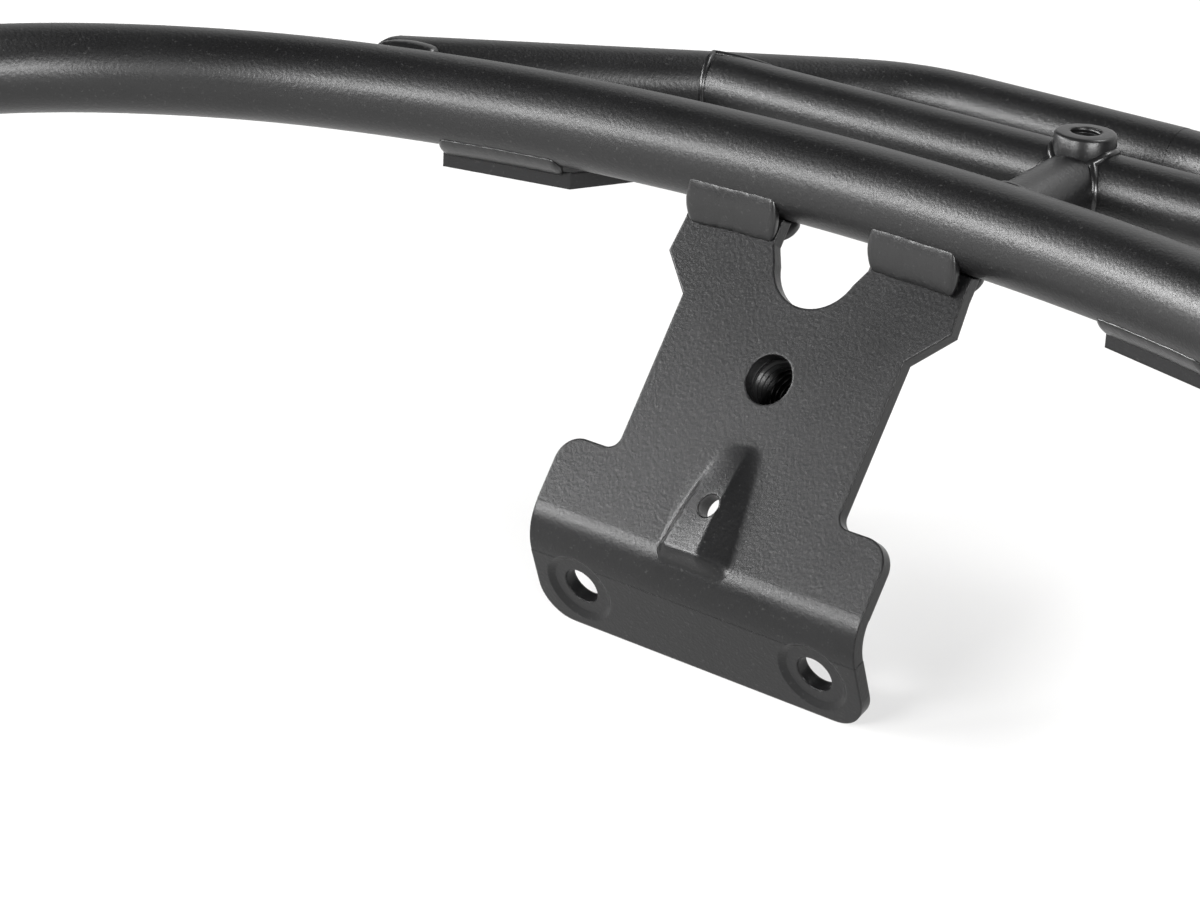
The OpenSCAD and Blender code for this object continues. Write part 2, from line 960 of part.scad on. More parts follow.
// Bead around the foot of the bush
module weld_bush() {
    color(bead_steel) placed()
        on_plate()
            translate([0, sheet_t + bead_gap, -bush_s])
                rotate([-90, 0, 0])
                    difference() {
                        cylinder(d1 = bush_d + 2 * bush_bead, d2 = bush_d + 0.6, h = bush_bead);
                        translate([0, 0, -1])
                            cylinder(d = bush_d + 2 * bead_gap, h = bush_bead + 2);
                    }
}

// Four beads along the slot of the right arm
module lug_beads() {
    difference() {
        at_arm_end()
            for (side = [-1, 1], face = [-1, 1])
                translate([-lug_in + lug_bead_r, face * lug_t / 2, side * (bow_r - 0.4)])
                    rotate([0, 90, 0])
                        cylinder(r = lug_bead_r, h = lug_in - 2 * lug_bead_r);
        arm(bow_r + bead_gap, 0);
        at_arm_end()
            translate([-2 * lug_in, -lug_t / 2 - bead_gap, -lug_w])
                cube([3 * lug_in, lug_t + 2 * bead_gap, 2 * lug_w]);
    }
}

module weld_lug_right() {
    color(bead_steel) placed()
        lug_beads();
}

module weld_lug_left() {
    color(bead_steel) placed()
        left_side()
            lug_beads();
}

bow_tube();
loop_tube();
cross_tube();
strut_tube();
boss();
bracket_plate();
bracket_bush();
tab_plate_left();
tab_plate_right();
arm_lug_left();
arm_lug_right();
weld_bracket_front_left();
weld_bracket_front_right();
weld_bracket_rear_left();
weld_bracket_rear_right();
weld_tab_left();
weld_tab_right();
weld_loop_left();
weld_loop_right();
weld_cross_left();
weld_cross_right();
weld_strut_front();
weld_strut_rear();
weld_boss();
weld_bush();
weld_lug_left();
weld_lug_right();
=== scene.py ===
# %% [markdown]
# # A welded luggage rack in black powder coat
# The CAD model already holds every tube and plate at its true size. This lesson dresses it:
# it gives the steel its coat, lays real weld beads, cuts threads, and lights the rack.

# %% Load the frame
import math

import bpy
import numpy as np
from mathutils import Matrix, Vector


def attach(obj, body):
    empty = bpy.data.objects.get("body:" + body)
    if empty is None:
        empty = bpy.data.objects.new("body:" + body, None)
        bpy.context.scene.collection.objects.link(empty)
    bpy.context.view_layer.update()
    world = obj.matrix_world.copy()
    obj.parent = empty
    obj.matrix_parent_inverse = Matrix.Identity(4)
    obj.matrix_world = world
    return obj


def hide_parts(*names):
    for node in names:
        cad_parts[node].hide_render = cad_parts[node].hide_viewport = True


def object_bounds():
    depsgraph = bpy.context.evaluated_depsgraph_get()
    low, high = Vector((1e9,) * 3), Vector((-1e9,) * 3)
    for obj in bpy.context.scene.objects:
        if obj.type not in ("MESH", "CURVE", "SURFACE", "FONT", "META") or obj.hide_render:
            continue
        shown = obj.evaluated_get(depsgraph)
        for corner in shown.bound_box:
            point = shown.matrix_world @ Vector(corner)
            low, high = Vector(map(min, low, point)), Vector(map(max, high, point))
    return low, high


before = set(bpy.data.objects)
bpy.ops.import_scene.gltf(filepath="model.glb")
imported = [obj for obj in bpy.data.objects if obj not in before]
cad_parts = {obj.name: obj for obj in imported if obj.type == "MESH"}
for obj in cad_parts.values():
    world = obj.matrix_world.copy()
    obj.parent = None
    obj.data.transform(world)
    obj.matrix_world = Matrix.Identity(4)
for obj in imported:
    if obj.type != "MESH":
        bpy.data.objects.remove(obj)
cad_low, cad_high = [list(map(float, corner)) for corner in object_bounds()]
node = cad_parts
print("CAD box in mm:", [round((b - a) * 1000, 1) for a, b in zip(cad_low, cad_high)])

# %% [markdown]
# ## Where the bow and the bracket are
# The part's origin is the seat of the bush behind the bracket. The seams are easier to write from the
# middle of the bow, so bow_at leads from the origin there: forward through the sheet, then up along
# the leaning bracket. The pairs down_plate and off_plate hold y and z.

# %% The bracket's directions, in millimetres
mm = 0.001
plate_lean = math.radians(33.4)
down_plate = np.array([-math.sin(plate_lean), -math.cos(plate_lean)])
off_plate = np.array([-math.cos(plate_lean), math.sin(plate_lean)])
sheet_thickness, weld_toe, toe_to_bush = 2.5, 12.7, 22.2
bow_at = np.array([0.0, *(sheet_thickness * off_plate - (weld_toe + toe_to_bush) * down_plate)])
print("The bow's middle lies at", np.round(bow_at, 2).tolist())

# %% [markdown]
# ## The bow as a chain of arcs
# A tube bender makes one arc after the other. So a point on the bow follows from the length walked
# along it, and a seam on it is an even row of lengths, which is handier than x and y.

# %% Walk along the bow
bow_radius, thin_radius = 8.0, 6.0
arc_radii = np.array([300.0, 190.0, 120.0, 85.0])
arc_turns = np.radians([10.0, 15.0, 20.0, 30.0])
bow_half = float(np.sum(arc_radii * arc_turns))


def along_bow(length):
    """Points on the bow's axis and its headings: walk each arc in turn, and on an arc of radius r the
    heading grows by length / r while the point moves by r times the change of (sin, -cos)."""
    length = np.atleast_1d(np.asarray(length, float))
    spot = np.zeros((len(length), 2))
    heading = np.zeros(len(length))
    left = np.abs(length)
    start = np.zeros(2)
    turned = 0.0
    for r, turn in zip(arc_radii, arc_turns):
        centre = start - r * np.array([math.sin(turned), math.cos(turned)])
        here = left >= 0.0
        angle = turned + np.clip(left, 0.0, r * turn) / r
        place = centre + r * np.stack([np.sin(angle), np.cos(angle)], axis=1)
        spot[here] = place[here]
        heading[here] = angle[here]
        left = np.where(left > r * turn, left - r * turn, -1.0)
        turned += turn
        start = centre + r * np.array([math.sin(turned), math.cos(turned)])
    side = np.where(length < 0.0, -1.0, 1.0)
    spot[:, 0] *= side
    return spot, heading * side


print("Bow arcs end at", np.round(along_bow(np.cumsum(arc_radii * arc_turns))[0], 1).tolist())

# %% [markdown]
# ## Nodes written as sums
# A material is a small calculation. This class wraps one socket, so that a plus sign in Python
# adds a Math node, and the formulas below read like formulas.


# %% A socket that can be added and multiplied
class Wire:
    """One socket of a node tree. Operators on it add Math nodes."""

    def __init__(self, tree, socket):
        self.tree = tree
        self.socket = socket

    def join(self, first, second, operation):
        return self.tree.add("ShaderNodeMath", {"operation": operation}, {0: first, 1: second})

    def __add__(self, other):
        return self.join(self, other, "ADD")

    def __sub__(self, other):
        return self.join(self, other, "SUBTRACT")

    def __rsub__(self, other):
        return self.join(other, self, "SUBTRACT")

    def __mul__(self, other):
        return self.join(self, other, "MULTIPLY")

    __radd__ = __add__
    __rmul__ = __mul__


# %% [markdown]
# ### One way to add any other node
# Every node has a type, settings that change its sockets, and sockets that take a value or a wire.
# One method sets them in that order. Three short ones build on it for what the finishes repeat.

# %% A tree of nodes
class Recipe:
    """The node tree of one material or world."""

    def __init__(self, owner):
        owner.use_nodes = True
        self.nodes = owner.node_tree.nodes
        self.links = owner.node_tree.links
        self.nodes.clear()

    def add(self, kind, settings=None, inputs=None, output=0):
        """A node of that kind: its settings first, then its sockets, each a value or a wire."""
        made = self.nodes.new(kind)
        for name, value in (settings or {}).items():
            setattr(made, name, value)
        for key, value in (inputs or {}).items():
            if isinstance(value, Wire):
                self.links.new(value.socket, made.inputs[key])
            else:
                made.inputs[key].default_value = value
        return Wire(self, made.outputs[output]) if made.outputs else None

    def noise(self, scale, detail=2.0, roughness=0.5):
        """Noise between 0 and 1 on the piece's own coordinates, with about scale grains to the metre."""
        place = self.add("ShaderNodeTexCoord", output="Object")
        sockets = {"Vector": place, "Scale": scale, "Detail": detail, "Roughness": roughness}
        return self.add("ShaderNodeTexNoise", {}, sockets)

    def ramp(self, value, low, high):
        """0 below low, 1 above high, and a straight line between."""
        sockets = {"Value": value, "From Min": low, "From Max": high}
        return self.add("ShaderNodeMapRange", {"clamp": True}, sockets)

    def mix(self, factor, one, two):
        """Colour one where factor is 0, colour two where it is 1."""
        return self.add("ShaderNodeMix", {"data_type": "RGBA"}, {0: factor, 6: one, 7: two}, output=2)


def grey(value, blue=0.0):
    """A colour with its alpha: an even grey, a little bluer where blue is above 0."""
    return (value, value, value + blue, 1.0)


# %% [markdown]
# ## Satin black powder coat
# Powder coat is melted plastic dust. It is nearly black, and its surface keeps a fine grain on a
# longer waviness called orange peel, which together break a highlight into sparkles. A picture of
# paint would blur close up, so both come from noise. On cut sheet the coat also rounds every edge,
# which the Bevel node does to the shading. Tubes have no cut edge, so they go without.

# %% The coat
def powder_coat(name, tint, grain_height, edge, shine, bend_index=1.5):
    """A black coat: tint is its base colour, grain_height in metres the depth of its grain, edge the
    radius of coated edges in metres, shine its base roughness and bend_index its refractive index."""
    material = bpy.data.materials.new(name)
    r = Recipe(material)
    # Grains to the metre: fine grain, orange peel, slow clouds in the shine, and specks of dust
    grain = r.noise(2600.0, 3.0, 0.6)
    peel = r.noise(1500.0, 1.5)
    cloud = r.noise(38.0, 3.0, 0.55)
    dust = r.ramp(r.noise(1500.0, 2.0, 0.7), 0.63, 0.72)
    dark, light = [(*(share * c for c in tint), 1.0) for share in (0.88, 1.14)]
    shade = r.mix(r.ramp(cloud, 0.3, 0.7), dark, light)
    colour = r.mix(dust * 0.35, shade, grey(0.05, -0.001))
    rough = shine + (cloud - 0.5) * 0.10 + (grain - 0.5) * 0.16
    wave = {"Strength": 1.0, "Distance": 2.2 * grain_height, "Height": peel}
    if edge > 0.0:
        wave["Normal"] = r.add("ShaderNodeBevel", {"samples": 6}, {"Radius": edge})
    waves = r.add("ShaderNodeBump", {}, wave)
    fine = {"Strength": 1.0, "Distance": grain_height, "Height": grain, "Normal": waves}
    bumps = r.add("ShaderNodeBump", {}, fine)
    sockets = {"Base Color": colour, "Roughness": rough, "Normal": bumps, "IOR": bend_index}
    coat = r.add("ShaderNodeBsdfPrincipled", {}, sockets)
    r.add("ShaderNodeOutputMaterial", {}, {"Surface": coat})
    return material


tube_coat = powder_coat("tube coat", (0.0014, 0.0014, 0.0016), 22e-6, 0.0, 0.42)
sheet_coat = powder_coat("sheet coat", (0.0050, 0.0050, 0.0053), 14e-6, 0.0005, 0.33, 1.37)
bead_coat = powder_coat("bead coat", (0.0050, 0.0050, 0.0052), 12e-6, 0.0, 0.32)
thread_coat = powder_coat("thread coat", (0.0060, 0.0060, 0.0062), 10e-6, 0.0001, 0.36, 1.38)
print("Coats:", [m.name for m in (tube_coat, sheet_coat, bead_coat, thread_coat)])

# %% [markdown]
# ## The CAD tubes and plates keep their shape
# Every CAD node has its true shape, so it only needs a material. The triangles stay as they are,
# and any node that a later piece stands for is taken away there.

# %% Dress the CAD nodes
sheet_nodes = ["bracket_plate", "tab_plate_left", "tab_plate_right", "arm_lug_left", "arm_lug_right"]


def dress(thing, material):
    """Gives a piece its one material."""
    thing.data.materials.clear()
    thing.data.materials.append(material)


for name, thing in node.items():
    coat = sheet_coat if name in sheet_nodes else tube_coat
    dress(thing, coat)
print("Dressed", len(node), "CAD nodes")

# %% [markdown]
# ## From a grid of points to a mesh
# Each new piece is a surface worked out as a grid: one direction runs along the piece and the
# other round it. Numpy computes all of its points at once, and this function joins them by quads.
# The sign of the volume tells whether its faces point outwards.

# %% Put a grid into a mesh
def grid_piece(name, points, material, stands_for=(), closed_along=False, caps=True):
    """A tube-like mesh from points of shape (along, round, 3) in millimetres in the part's frame. The
    round direction always closes; the ends close by a fan to their middle, unless it is a ring or caps is
    False."""
    rows, cols = points.shape[:2]
    index = np.arange(rows * cols).reshape(rows, cols)
    here = index if closed_along else index[:-1]
    there = np.roll(index, -1, axis=0) if closed_along else index[1:]
    quads = np.stack([here, np.roll(here, -1, axis=1), np.roll(there, -1, axis=1), there], axis=-1)
    quads = quads.reshape(-1, 4)
    fans = np.zeros((0, 3), int)
    spots = points.reshape(-1, 3)
    if caps and not closed_along:
        spots = np.concatenate([spots, points[[0, -1]].mean(axis=1)])
        first, last = index[0], index[-1]
        middle = np.full(cols, rows * cols)
        fans = np.concatenate([np.stack([middle, np.roll(first, -1), first], axis=-1),
                               np.stack([last, np.roll(last, -1), middle + 1], axis=-1)])
    mesh = bpy.data.meshes.new(name)
    mesh.from_pydata((spots * mm).tolist(), [], quads.tolist() + fans.tolist())
    mesh.update()
    a, b, c = spots[np.concatenate([quads[:, :3], fans])].transpose(1, 0, 2)
    if np.sum(a * np.cross(b, c)) < 0.0:
        mesh.flip_normals()
    mesh.polygons.foreach_set("use_smooth", [True] * len(mesh.polygons))
    thing = bpy.data.objects.new(name, mesh)
    bpy.context.scene.collection.objects.link(thing)
    dress(thing, material)
    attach(thing, "root")
    if stands_for:
        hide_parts(*stands_for)
    return thing


# %% [markdown]
# ## Weld beads
# A welder fills the corner between two pieces with molten steel. The coat then smooths it, so what is
# seen is a long fillet that swells only a little from one pool to the next and ends round. A texture
# couldn't stand proud of the steel and catch the light, so each bead is a fillet carried along its
# seam. Its front half is the bead, and its rear half is buried in the steel.

# %% Walk along a seam
rng = np.random.default_rng(7)


def walk(seam, out, closed, spacing=0.16):
    """Even steps along a seam: the lengths walked, their total, the points, and at each point the unit
    directions out of the seam and across it, which is the way ahead crossed with the way out."""
    step = np.linalg.norm(np.diff(seam, axis=0), axis=1)
    known = np.concatenate([[0.0], np.cumsum(step)])
    if closed:
        known = np.append(known, known[-1] + np.linalg.norm(seam[0] - seam[-1]))
        seam = np.concatenate([seam, seam[:1]])
        out = np.concatenate([out, out[:1]])
    total = known[-1]
    at = np.linspace(0.0, total, max(12, int(total / spacing)), endpoint=not closed)
    centre = np.stack([np.interp(at, known, seam[:, k]) for k in range(3)], axis=1)
    up = np.stack([np.interp(at, known, out[:, k]) for k in range(3)], axis=1)
    ahead = np.roll(centre, -1, 0) - np.roll(centre, 1, 0) if closed else np.gradient(centre, axis=0)
    ahead /= np.linalg.norm(ahead, axis=1, keepdims=True)
    up -= ahead * np.sum(ahead * up, axis=1, keepdims=True)
    up /= np.linalg.norm(up, axis=1, keepdims=True)
    return at, total, centre, up, np.cross(ahead, up)


# %% Carry a fillet along a seam
pool_lag, pool_swell, end_length, buried = 0.42, 0.025, 1.4, 2.0


def bead(seam, out, width, height, pitch=3.1, closed=False, sides=36):
    """Points of a bead: centre + width * cos(a) * across + y * up. In front y = height * sin(a)^1.5, so
    that its toes run out flat; behind y = buried * sin(a). At length s the size swells a little with
    |sin(pi * (s / pitch + pool_lag * sin(a)))|, and it tapers as a quarter circle at free ends."""
    at, total, centre, up, across = walk(seam, out, closed)
    pools = max(3, round(total / pitch))
    a = np.linspace(0.0, 2.0 * math.pi, sides, endpoint=False)
    count = at / total * pools
    pool = np.abs(np.sin(math.pi * (count[:, None] + pool_lag * np.sin(a)))) ** 0.8
    uneven = np.interp(count, np.arange(pools + 1), np.append(rng.uniform(0.96, 1.03, pools), 1.0))
    size = (0.98 + pool_swell * pool) * uneven[:, None]
    if not closed:
        end = np.clip(np.minimum(at, total - at) / end_length, 0.0, 1.0)
        size = size * np.sqrt(np.clip(1.0 - (1.0 - end) ** 2, 0.003, 1.0))[:, None]
    y = np.where(np.sin(a) > 0.0, height * np.abs(np.sin(a)) ** 1.5, buried * np.sin(a))
    section = width * np.cos(a)[:, None] * across[:, None, :] + y[:, None] * up[:, None, :]
    return centre[:, None, :] + size[:, :, None] * section


def lay(name, seam, out, width, height, closed=False, pitch=3.1):
    """A bead piece along a seam in the bow's frame, for the CAD node of the same name."""
    points = bead(np.asarray(seam) + bow_at, np.asarray(out, float), width, height, pitch, closed)
    return grid_piece(name + "_bead", points, bead_coat, [name], closed_along=closed)


# %% [markdown]
# ### Beads at the centre bracket and the tab plates
# These seams follow the bow, so their points come from lengths along it. Across the tube, the
# bracket's beads sit in the corners between the tube and the leaning plate, in front and behind,
# and those of the tab plates sit under the tube.

# %% Points and directions beside the bow
def beside_bow(lengths, back, up):
    """Points beside the bow at lengths along it, moved square to it by back and up."""
    spot, heading = along_bow(lengths)
    flat = spot + back * np.stack([np.sin(heading), np.cos(heading)], axis=1)
    return np.concatenate([flat, np.full((len(flat), 1), up)], axis=1)


def beside_out(lengths, back, up):
    """Directions square to the bow at lengths along it."""
    heading = along_bow(lengths)[1]
    return np.stack([np.sin(heading) * back, np.cos(heading) * back, np.full(len(heading), up)], axis=1)


# %% Bracket beads
bracket_span = np.linspace(9.6, 28.3, 40)
tab_span = np.linspace(56.2, 80.2, 40)
# From the bow's axis, down the plate and off its front: the middle of each bead, and the way it faces
front_middle = 9.3 * down_plate + 2.25 * off_plate
front_facing = 0.611 * down_plate + 0.791 * off_plate
rear_middle = 9.0 * down_plate - 4.6 * off_plate
rear_facing = 0.611 * down_plate - 0.791 * off_plate
# Under the tube, to the front and down
tab_middle, tab_facing = (-3.5, -7.75), (-0.67, -0.745)
for side, word in ((-1.0, "left"), (1.0, "right")):
    lengths = side * bracket_span
    seam, out = beside_bow(lengths, *front_middle), beside_out(lengths, *front_facing)
    lay("weld_bracket_front_" + word, seam, out, width=4.0, height=0.7)
    seam, out = beside_bow(lengths, *rear_middle), beside_out(lengths, *rear_facing)
    lay("weld_bracket_rear_" + word, seam, out, width=3.2, height=0.6)
    lengths = side * tab_span
    seam, out = beside_bow(lengths, *tab_middle), beside_out(lengths, *tab_facing)
    lay("weld_tab_" + word, seam, out, width=2.9, height=0.6)
print("Bracket beads run from", bracket_span[0], "to", bracket_span[-1], "mm along the bow")

# %% [markdown]
# ## The bow as one sweep
# The CAD bow is a chain of exact arcs, with hairline steps of 0.04 mm between them. A bent tube has
# none, so one ring is carried along the whole path here, down both arms, and folded in at the ends.

# %% The path of the bow and its arms
arm_run, arm_bend, arm_drop, arm_tail = 40.0, 60.0, math.radians(40.0), 36.0
out_to = bow_half + arm_run + arm_bend * arm_drop + arm_tail


def half_path(length):
    """Points of one half of the bow's axis and its directions: the arcs, then the arm, which runs on
    straight, bends down by the angle (length - straight) / radius and runs out straight again."""
    flat, heading = along_bow(np.minimum(length, bow_half))
    level = np.stack([np.cos(heading), -np.sin(heading), np.zeros(len(length))], axis=1)
    past = np.clip(length - bow_half, 0.0, None)
    tilt = np.clip((past - arm_run) / arm_bend, 0.0, arm_drop)
    last = np.clip(past - arm_run - arm_bend * arm_drop, 0.0, None)
    ahead = np.minimum(past, arm_run) + arm_bend * np.sin(tilt) + last * math.cos(arm_drop)
    fall = arm_bend * (1.0 - np.cos(tilt)) + last * math.sin(arm_drop)
    place = np.concatenate([flat, -fall[:, None]], axis=1) + level * ahead[:, None]
    way = level * np.cos(tilt)[:, None] - np.array([0.0, 0.0, 1.0]) * np.sin(tilt)[:, None]
    return place, way


print("Bow:", round(2.0 * out_to, 1), "mm of tube along its axis")

# %% [markdown]
# ### Both halves and the open ends
# The left half is the right one mirrored. At each end the ring folds in over a small broken edge to
# the bore, which goes as deep as the lug's slot and closes there, out of sight.

# %% Sweep the bow
bore_radius, bore_depth, edge_break = 6.0, 14.0, 0.3
stops = np.concatenate([np.linspace(0.0, bow_half, 190), np.linspace(bow_half, out_to, 80)[1:]])
place, way = half_path(stops)
mirror = np.array([-1.0, 1.0, 1.0])
axis_points = np.concatenate([(place * mirror)[:0:-1], place])
ways = np.concatenate([-(way * mirror)[:0:-1], way])
fold_radius = np.array([0.01, bore_radius, bore_radius, bow_radius - edge_break])
fold_depth = np.array([bore_depth, bore_depth, 0.0, 0.0])[:, None]
near_end = axis_points[[0]] + ways[0] * fold_depth
far_end = axis_points[[-1]] - ways[-1] * fold_depth[::-1]
centres = np.concatenate([near_end, axis_points, far_end])
centres[4] += edge_break * ways[0]
centres[-5] -= edge_break * ways[-1]
radius = np.concatenate([fold_radius, np.full(len(axis_points), bow_radius), fold_radius[::-1]])
lines = np.concatenate([np.repeat(ways[[0]], 4, 0), ways, np.repeat(ways[[-1]], 4, 0)])
level = np.cross([0.0, 0.0, 1.0], lines)
level /= np.linalg.norm(level, axis=1, keepdims=True)
upward = np.cross(lines, level)
ring_angle = np.linspace(0.0, 2.0 * math.pi, 128, endpoint=False)[:, None]
circles = np.cos(ring_angle) * level[:, None, :] + np.sin(ring_angle) * upward[:, None, :]
rings = centres[:, None, :] + radius[:, None, None] * circles + bow_at
swept = grid_piece("bow_tube_swept", rings, tube_coat, ["bow_tube"], caps=False)
swept.data.set_sharp_from_angle(angle=math.radians(40.0))
print("Swept bow:", len(swept.data.polygons), "faces")

# %% [markdown]
# ## Beads where round tubes meet
# Two round tubes meet along a saddle. A point of it lies on both skins, so one tube's angle
# gives the height, and the other tube's skin then gives the distance.

# %% Cross tube and loop beads
loop_points = np.array([[-94.0, -8.6], [-21.6, 50.0], [48.0, 50.0], [94.0, -8.6]])
cross_y, thin_z = 27.0, 2.0
around = np.linspace(0.0, 2.0 * math.pi, 120, endpoint=False)
c, s = np.cos(around), np.sin(around)
upwards = np.array([0.0, 0.0, 1.0])
k = np.linspace(0.0, 1.0, 30)[:, None]
for end, corner, word, turn in ((0, 1, "left", 1.0), (3, 2, "right", -1.0)):
    leg = loop_points[corner] - loop_points[end]
    leg_way = leg / np.linalg.norm(leg)
    inward = turn * np.array([leg_way[1], -leg_way[0]])
    crossing_x = loop_points[end][0] + leg[0] * (cross_y - loop_points[end][1]) / leg[1]
    x = crossing_x + thin_radius * (np.abs(c) - c * inward[1]) / inward[0]
    saddle = np.stack([x, cross_y + thin_radius * c, thin_z + thin_radius * s], axis=1)
    away = np.stack([np.full_like(c, 0.5 * np.sign(inward[0])), c, s], axis=1)
    lay("weld_cross_" + word, saddle, away, width=0.6, height=0.4, closed=True, pitch=2.6)
    tip = np.array([*loop_points[end], thin_z])
    along, inside = np.append(leg_way, 0.0), np.append(inward, 0.0)
    # From 3.4 mm in front of the tip, on the bow, 10.5 mm back along the inside and over the tube
    climb = 0.6 + 4.3 * np.sin(math.pi * (0.28 + 0.42 * k))
    over = tip + along * (10.5 * k - 3.4) + inside * (1.8 + 3.2 * k) + upwards * climb
    out = np.repeat([0.25 * inside + upwards], len(k), axis=0)
    lay("weld_loop_" + word, over, out, width=2.3, height=1.2)
    print("The", word, "leg of the loop meets the cross tube at x", round(float(crossing_x), 1))

# %% Strut and boss beads
boss_x, boss_radius = 28.0, 5.3
foot_middle_x, foot_middle_z, head_middle_x = 29.3, 0.6, 28.4
foot_x = foot_middle_x + thin_radius * c
foot_z = foot_middle_z + thin_radius * s
# Beside its middle the bow's axis comes forward by x^2 / (2 r)
axis_y = -foot_x ** 2 / (2.0 * arc_radii[0])
foot = np.stack([foot_x, axis_y + np.sqrt(bow_radius ** 2 - foot_z ** 2), foot_z], axis=1)
out = np.stack([c, np.full_like(c, 0.6), s], axis=1)
lay("weld_strut_front", foot, out, width=0.8, height=0.6, closed=True, pitch=2.6)
# Both sides of the rear seam keep 1.1 mm in front of the cross tube's axis, where its skin turns away
reach = np.sqrt(thin_radius ** 2 + 0.01 - (5.9 * s) ** 2)
head = np.stack([head_middle_x + thin_radius * c, cross_y - reach, thin_z + thin_radius * s], axis=1)
out = np.stack([c, np.full_like(c, -0.6), s], axis=1)
lay("weld_strut_rear", head, out, width=0.8, height=0.6, closed=True, pitch=2.6)
rim_z = thin_z + np.sqrt(thin_radius ** 2 - (boss_radius * s) ** 2)
rim = np.stack([boss_x + boss_radius * c, cross_y + boss_radius * s, rim_z], axis=1)
out = np.stack([c, s, np.full_like(c, 0.7)], axis=1)
lay("weld_boss", rim, out, width=0.9, height=0.8, closed=True, pitch=1.6)
print("The boss stands at x", boss_x, "and y", cross_y)

# %% [markdown]
# ## Beads at the bush and the lugs
# The bush has one round bead where it meets the sheet's rear. Each lug sits in a slot of its arm and
# has four short beads, one in each corner between its faces and the tube, which are separate pieces.

# %% Bush and lug beads
front = np.array([0.0, *off_plate])
downhill = np.array([0.0, *down_plate])
sideways = np.array([1.0, 0.0, 0.0])
bush_radius = 7.0
circle = c[:, None] * sideways + s[:, None] * np.cross(sideways, front)
ring = (bush_radius + 0.1) * circle - 0.5 * front
out = ring / bush_radius - 0.7 * front
lay("weld_bush", ring - bow_at, out, width=1.6, height=1.3, closed=True)
arm_ends, arm_ways = half_path(np.array([out_to]))
arm_end, arm_way = arm_ends[0], arm_ways[0]
arm_side = np.cross(upwards, arm_way) / math.cos(arm_drop)
arm_up = np.cross(arm_way, arm_side)
lug_face, tube_skin = 2.5, 7.5
k = np.linspace(-13.0, -1.5, 24)[:, None]
for hand, word in ((-1.0, "left"), (1.0, "right")):
    flip = np.array([hand, 1.0, 1.0])
    for number, (a, b) in enumerate(((1, 1), (1, -1), (-1, 1), (-1, -1))):
        line = (arm_end + arm_way * k + arm_side * a * lug_face + arm_up * b * tube_skin) * flip
        out = np.repeat([(arm_side * a * 0.5 + arm_up * b) * flip], len(k), axis=0)
        points = bead(line + bow_at, out, width=1.4, height=1.1)
        piece_name = "weld_lug_%s_bead_%d" % (word, number)
        grid_piece(piece_name, points, bead_coat, ["weld_lug_" + word])

# %% [markdown]
# ## Tapped threads
# The bush behind the bracket and the boss on top are tapped. A thread is a wall whose radius
# rises and falls along its axis, moved on by one pitch for each turn, so one formula makes it.

# %% A round body with a tapped bore
def tapped(name, base, axis, outline, core, depth, pitch, length, stands_for):
    """A body turned round an axis. Its bore has radius core + depth * v, where v is a triangle wave of
    (height / pitch - angle / full turn) that fades over the first and last pitch; outline holds the
    (radius, height) points of the outside, from the top edge of the bore round to the bottom edge."""
    turn = np.linspace(0.0, 2.0 * math.pi, 96, endpoint=False)
    h = np.linspace(0.0, length, int(length / pitch * 12))
    wave = np.abs(((h[:, None] / pitch - turn / (2.0 * math.pi)) % 1.0) * 2.0 - 1.0)
    fade = np.clip(np.minimum(h, length - h) / pitch, 0.0, 1.0)[:, None]
    bore = core + depth * (1.0 - wave) * fade + 0.35 * depth * (1.0 - fade)
    outside = np.array(outline)
    radius = np.concatenate([bore, np.repeat(outside[:, :1], len(turn), axis=1)])[:, :, None]
    height = np.concatenate([h, outside[:, 1]])[:, None, None]
    side = np.cross(axis, sideways)
    circle = np.cos(turn)[:, None] * side + np.sin(turn)[:, None] * np.cross(axis, side)
    points = np.asarray(base) + radius * circle + height * np.asarray(axis)
    return grid_piece(name, points, thread_coat, stands_for, closed_along=True)


# %% Tap the bush and the boss
bush_length, bush_pitch = 16.0, 1.5
bush_outline = [(6.3, bush_length), (6.9, bush_length - 0.4), (bush_radius, bush_length - 0.8),
                (bush_radius, 8.0), (bush_radius, 0.05), (5.5, 0.0)]
tapped("bracket_bush_tapped", np.zeros(3), -front, bush_outline,
       core=4.25, depth=0.75, pitch=bush_pitch, length=bush_length, stands_for=["bracket_bush"])
head_top, head_bottom, spigot_radius, boss_pitch = 15.55, 10.2, 3.8, 1.0
boss_outline = [(3.1, head_top), (4.6, head_top), (5.0, head_top - 0.1), (boss_radius, head_top - 0.5),
                (boss_radius, 12.0), (boss_radius, head_bottom), (spigot_radius, head_bottom),
                (spigot_radius, 5.0), (spigot_radius, 0.3), (3.4, 0.0)]
boss_base = np.array([boss_x, cross_y, -4.8]) + bow_at
tapped("boss_tapped", boss_base, upwards, boss_outline,
       core=2.5, depth=0.4, pitch=boss_pitch, length=head_top, stands_for=["boss"])
print("Turns:", int(bush_length / bush_pitch), "in the bush,", int(head_top / boss_pitch), "in the boss")

# %% [markdown]
# ## The pressed rib
# A press leaves no sharp line: the rib has a blunt top that fades into the plate, soft flanks and a
# rounded foot on the bend. The CAD rib is a plain cone, so a skin with those forms lies over it.
# Its grid starts at the rim of the drain hole and spreads to an oval, where it dips into the plate.

# %% Points on the front of the sheet
toe = sheet_thickness * front - toe_to_bush * downhill
rib_top, bend_start, bend_radius = 34.5, 53.9, 10.0


def smooth(value):
    """0 below 0, 1 above 1, and 3 v^2 - 2 v^3 between."""
    v = np.clip(value, 0.0, 1.0)
    return v * v * (3.0 - 2.0 * v)


